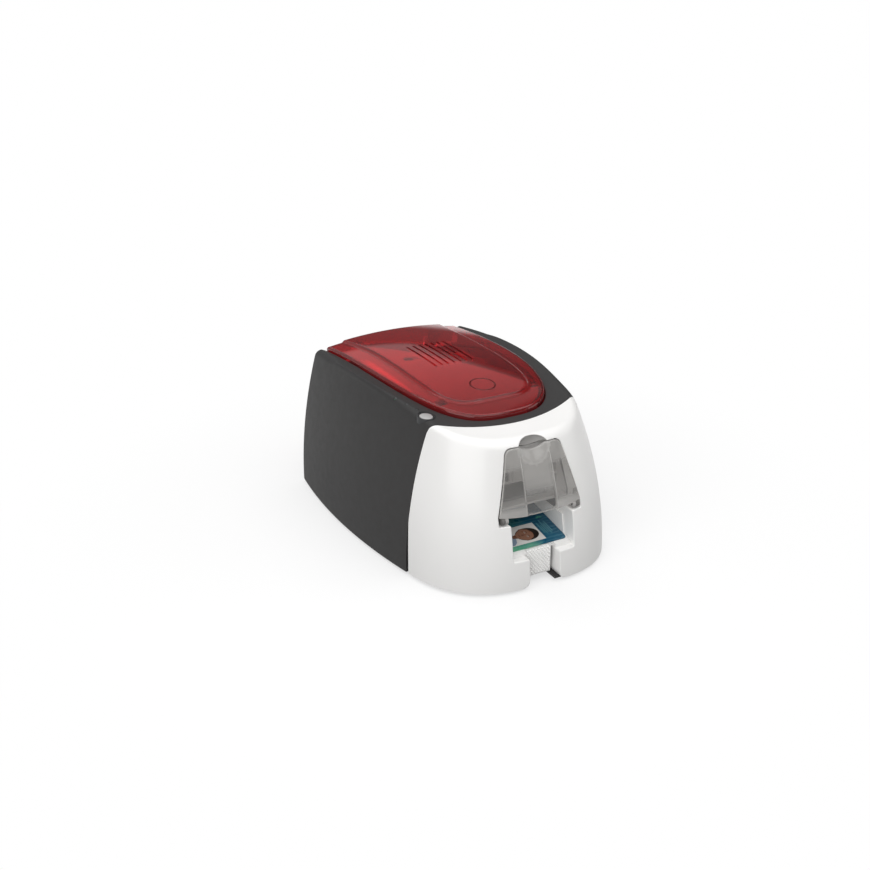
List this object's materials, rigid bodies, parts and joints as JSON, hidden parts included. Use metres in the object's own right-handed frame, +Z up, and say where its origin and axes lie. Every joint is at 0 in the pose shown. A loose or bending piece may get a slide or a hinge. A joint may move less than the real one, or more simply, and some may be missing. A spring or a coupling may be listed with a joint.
{
  "type": "id card printer",
  "caption": "Desktop card printer with a hinged transparent lid over its ribbon bay, a card feeder behind a hinged front cover and an open output hopper.",
  "frame": {"origin": "on the desk, under the middle of the body's length and width", "axes": "+X to the right seen from the front, +Y to the rear, +Z up"},
  "size_m": [0.205, 0.2786, 0.1438],
  "materials": {
    "housing_grey": "fine moulded texture, satin",
    "bezel_white": "semi-gloss moulded white",
    "rubber_black": "matt rubber",
    "steel": "bright zinc plated",
    "inner_grey": "matt moulded",
    "carrier_grey": "matt moulded",
    "smoky_cover": "smoky translucent, gloss",
    "card_print": "printed laminate",
    "black_plastic": "matt moulded",
    "red_lid": "transparent red, gloss",
    "ceramic": "glazed ceramic",
    "aluminium": "satin extruded",
    "connector_white": "matt moulded",
    "brass": "satin sintered bronze or brass",
    "cleaning_blue": "tacky silicone",
    "gear_white": "acetal",
    "motor_black": "satin black",
    "ribbon": "glossy dye ribbon",
    "board_green": "solder resist",
    "button_silver": "silver painted, satin"
  },
  "bodies": {
    "body": {"main_housing": "housing_grey", "front_bezel": "bezel_white", "rear_panel": "housing_grey", "base_tray": "housing_grey", "rubber_feet": "rubber_black", "base_screws": "steel", "hopper_tray": "bezel_white", "grip_panel": "bezel_white", "feeder_housing": "inner_grey", "printed_card": "card_print", "hinge_pins": "steel", "inner_deck": "inner_grey", "side_frame_left": "steel", "side_frame_right": "steel", "roller_bushes": "brass", "idler_studs": "steel", "feed_motor": "motor_black", "ribbon_film": "ribbon", "ribbon_motor": "motor_black", "ribbon_motor_bracket": "steel", "main_board": "board_green", "board_chips": "black_plastic", "usb_socket": "steel", "power_socket": "black_plastic", "button_guide": "button_silver", "button_board": "board_green"},
    "lid": {"lid_shell": "red_lid", "lid_hinge_ears": "black_plastic", "lid_catches": "black_plastic", "head_carrier": "carrier_grey", "head_springs": "steel"},
    "head": {"print_head": "ceramic", "heat_sink": "aluminium", "head_connector": "connector_white"},
    "front_cover": {"feeder_cover": "smoky_cover", "feeder_cover_ears": "smoky_cover"},
    "button": {"power_button": "button_silver"},
    "pusher": {"card_pusher": "inner_grey"},
    "gate": {"card_gate": "black_plastic"},
    "pick_feed": {"pick_roller": "rubber_black", "pick_shaft": "steel"},
    "front_feed": {"front_roller": "rubber_black", "front_shaft": "steel"},
    "platen": {"platen_roller": "rubber_black", "platen_shaft": "steel"},
    "rear_feed": {"rear_roller": "rubber_black", "rear_shaft": "steel"},
    "pick_idler": {"pick_idler_gear": "gear_white"},
    "front_idler": {"front_idler_gear": "gear_white"},
    "rear_idler": {"rear_idler_gear": "gear_white"},
    "drive_idler": {"drive_idler_gear": "gear_white"},
    "feed_pinion": {"motor_pinion": "brass"},
    "pinch_front": {"pinch_roller_front": "black_plastic"},
    "pinch_rear": {"pinch_roller_rear": "black_plastic"},
    "cleaner": {"cleaning_roller": "cleaning_blue"},
    "supply": {"supply_core": "gear_white", "supply_ribbon": "ribbon"},
    "takeup": {"takeup_core": "gear_white", "takeup_ribbon": "ribbon"},
    "ribbon_drive": {"ribbon_pinion": "brass"}
  },
  "joints": [
    {"name": "lid_hinge", "type": "hinge", "parent": "body", "child": "lid", "pos_m": [0, 0.1335, 0.1185], "axis": [-1, 0, 0], "range_deg": [0, 75]},
    {"name": "head_float", "type": "slide", "parent": "lid", "child": "head", "axis": [0, 0, 1], "range_m": [0, 0.0008], "stiffness_N_per_m": 4000, "springref_m": -0.002},
    {"name": "front_cover_hinge", "type": "hinge", "parent": "body", "child": "front_cover", "pos_m": [0, -0.128, 0.062], "axis": [1, 0, 0], "range_deg": [0, 75]},
    {"name": "button_press", "type": "slide", "parent": "body", "child": "button", "axis": [0, 0, -1], "range_m": [0, 0.0008], "stiffness_N_per_m": 600, "springref_m": -0.001},
    {"name": "pusher_slide", "type": "slide", "parent": "body", "child": "pusher", "axis": [0, 0, 1], "range_m": [0, 0.01]},
    {"name": "gate_tilt", "type": "hinge", "parent": "body", "child": "gate", "pos_m": [0, -0.031, 0.054], "axis": [1, 0, 0], "range_deg": [-15, 15], "stiffness_Nm_per_rad": 0.004},
    {"name": "platen_spin", "type": "hinge", "parent": "body", "child": "platen", "pos_m": [0, 0.018, 0.0557], "axis": [1, 0, 0], "continuous": true},
    {"name": "pick_spin", "type": "hinge", "parent": "body", "child": "pick_feed", "pos_m": [0, -0.062, 0.0557], "axis": [1, 0, 0], "continuous": true},
    {"name": "front_spin", "type": "hinge", "parent": "body", "child": "front_feed", "pos_m": [0, -0.022, 0.0557], "axis": [1, 0, 0], "continuous": true},
    {"name": "rear_spin", "type": "hinge", "parent": "body", "child": "rear_feed", "pos_m": [0, 0.058, 0.0557], "axis": [1, 0, 0], "continuous": true},
    {"name": "pick_idler_spin", "type": "hinge", "parent": "body", "child": "pick_idler", "pos_m": [0, -0.042, 0.0557], "axis": [1, 0, 0], "continuous": true},
    {"name": "front_idler_spin", "type": "hinge", "parent": "body", "child": "front_idler", "pos_m": [0, -0.002, 0.0557], "axis": [1, 0, 0], "continuous": true},
    {"name": "rear_idler_spin", "type": "hinge", "parent": "body", "child": "rear_idler", "pos_m": [0, 0.038, 0.0557], "axis": [1, 0, 0], "continuous": true},
    {"name": "drive_idler_spin", "type": "hinge", "parent": "body", "child": "drive_idler", "pos_m": [0, 0.07214, 0.04156], "axis": [1, 0, 0], "continuous": true},
    {"name": "feed_pinion_spin", "type": "hinge", "parent": "body", "child": "feed_pinion", "pos_m": [0, 0.08512, 0.03631], "axis": [1, 0, 0], "continuous": true},
    {"name": "pinch_front_spin", "type": "hinge", "parent": "body", "child": "pinch_front", "pos_m": [0, -0.022, 0.06746], "axis": [1, 0, 0], "continuous": true},
    {"name": "pinch_rear_spin", "type": "hinge", "parent": "body", "child": "pinch_rear", "pos_m": [0, 0.058, 0.06746], "axis": [1, 0, 0], "continuous": true},
    {"name": "cleaner_spin", "type": "hinge", "parent": "body", "child": "cleaner", "pos_m": [0, -0.007, 0.0577], "axis": [1, 0, 0], "continuous": true},
    {"name": "takeup_spin", "type": "hinge", "parent": "body", "child": "takeup", "pos_m": [0, -0.014, 0.086], "axis": [1, 0, 0], "continuous": true},
    {"name": "supply_spin", "type": "hinge", "parent": "body", "child": "supply", "pos_m": [0, 0.05, 0.088], "axis": [1, 0, 0], "continuous": true},
    {"name": "ribbon_drive_spin", "type": "hinge", "parent": "body", "child": "ribbon_drive", "pos_m": [0, -0.03044, 0.09332], "axis": [1, 0, 0], "continuous": true}
  ],
  "couplings": [
    {"joint": "pick_spin", "follows": "platen_spin", "ratio": 1},
    {"joint": "front_spin", "follows": "platen_spin", "ratio": 1},
    {"joint": "rear_spin", "follows": "platen_spin", "ratio": 1},
    {"joint": "pick_idler_spin", "follows": "platen_spin", "ratio": -1.5},
    {"joint": "front_idler_spin", "follows": "platen_spin", "ratio": -1.5},
    {"joint": "rear_idler_spin", "follows": "platen_spin", "ratio": -1.5},
    {"joint": "drive_idler_spin", "follows": "platen_spin", "ratio": -1.5},
    {"joint": "feed_pinion_spin", "follows": "platen_spin", "ratio": 2},
    {"joint": "pinch_front_spin", "follows": "platen_spin", "ratio": -1.4444},
    {"joint": "pinch_rear_spin", "follows": "platen_spin", "ratio": -1.4444},
    {"joint": "cleaner_spin", "follows": "platen_spin", "ratio": 1.4444},
    {"joint": "supply_spin", "follows": "takeup_spin", "ratio": 0.63333},
    {"joint": "ribbon_drive_spin", "follows": "takeup_spin", "ratio": -2}
  ]
}
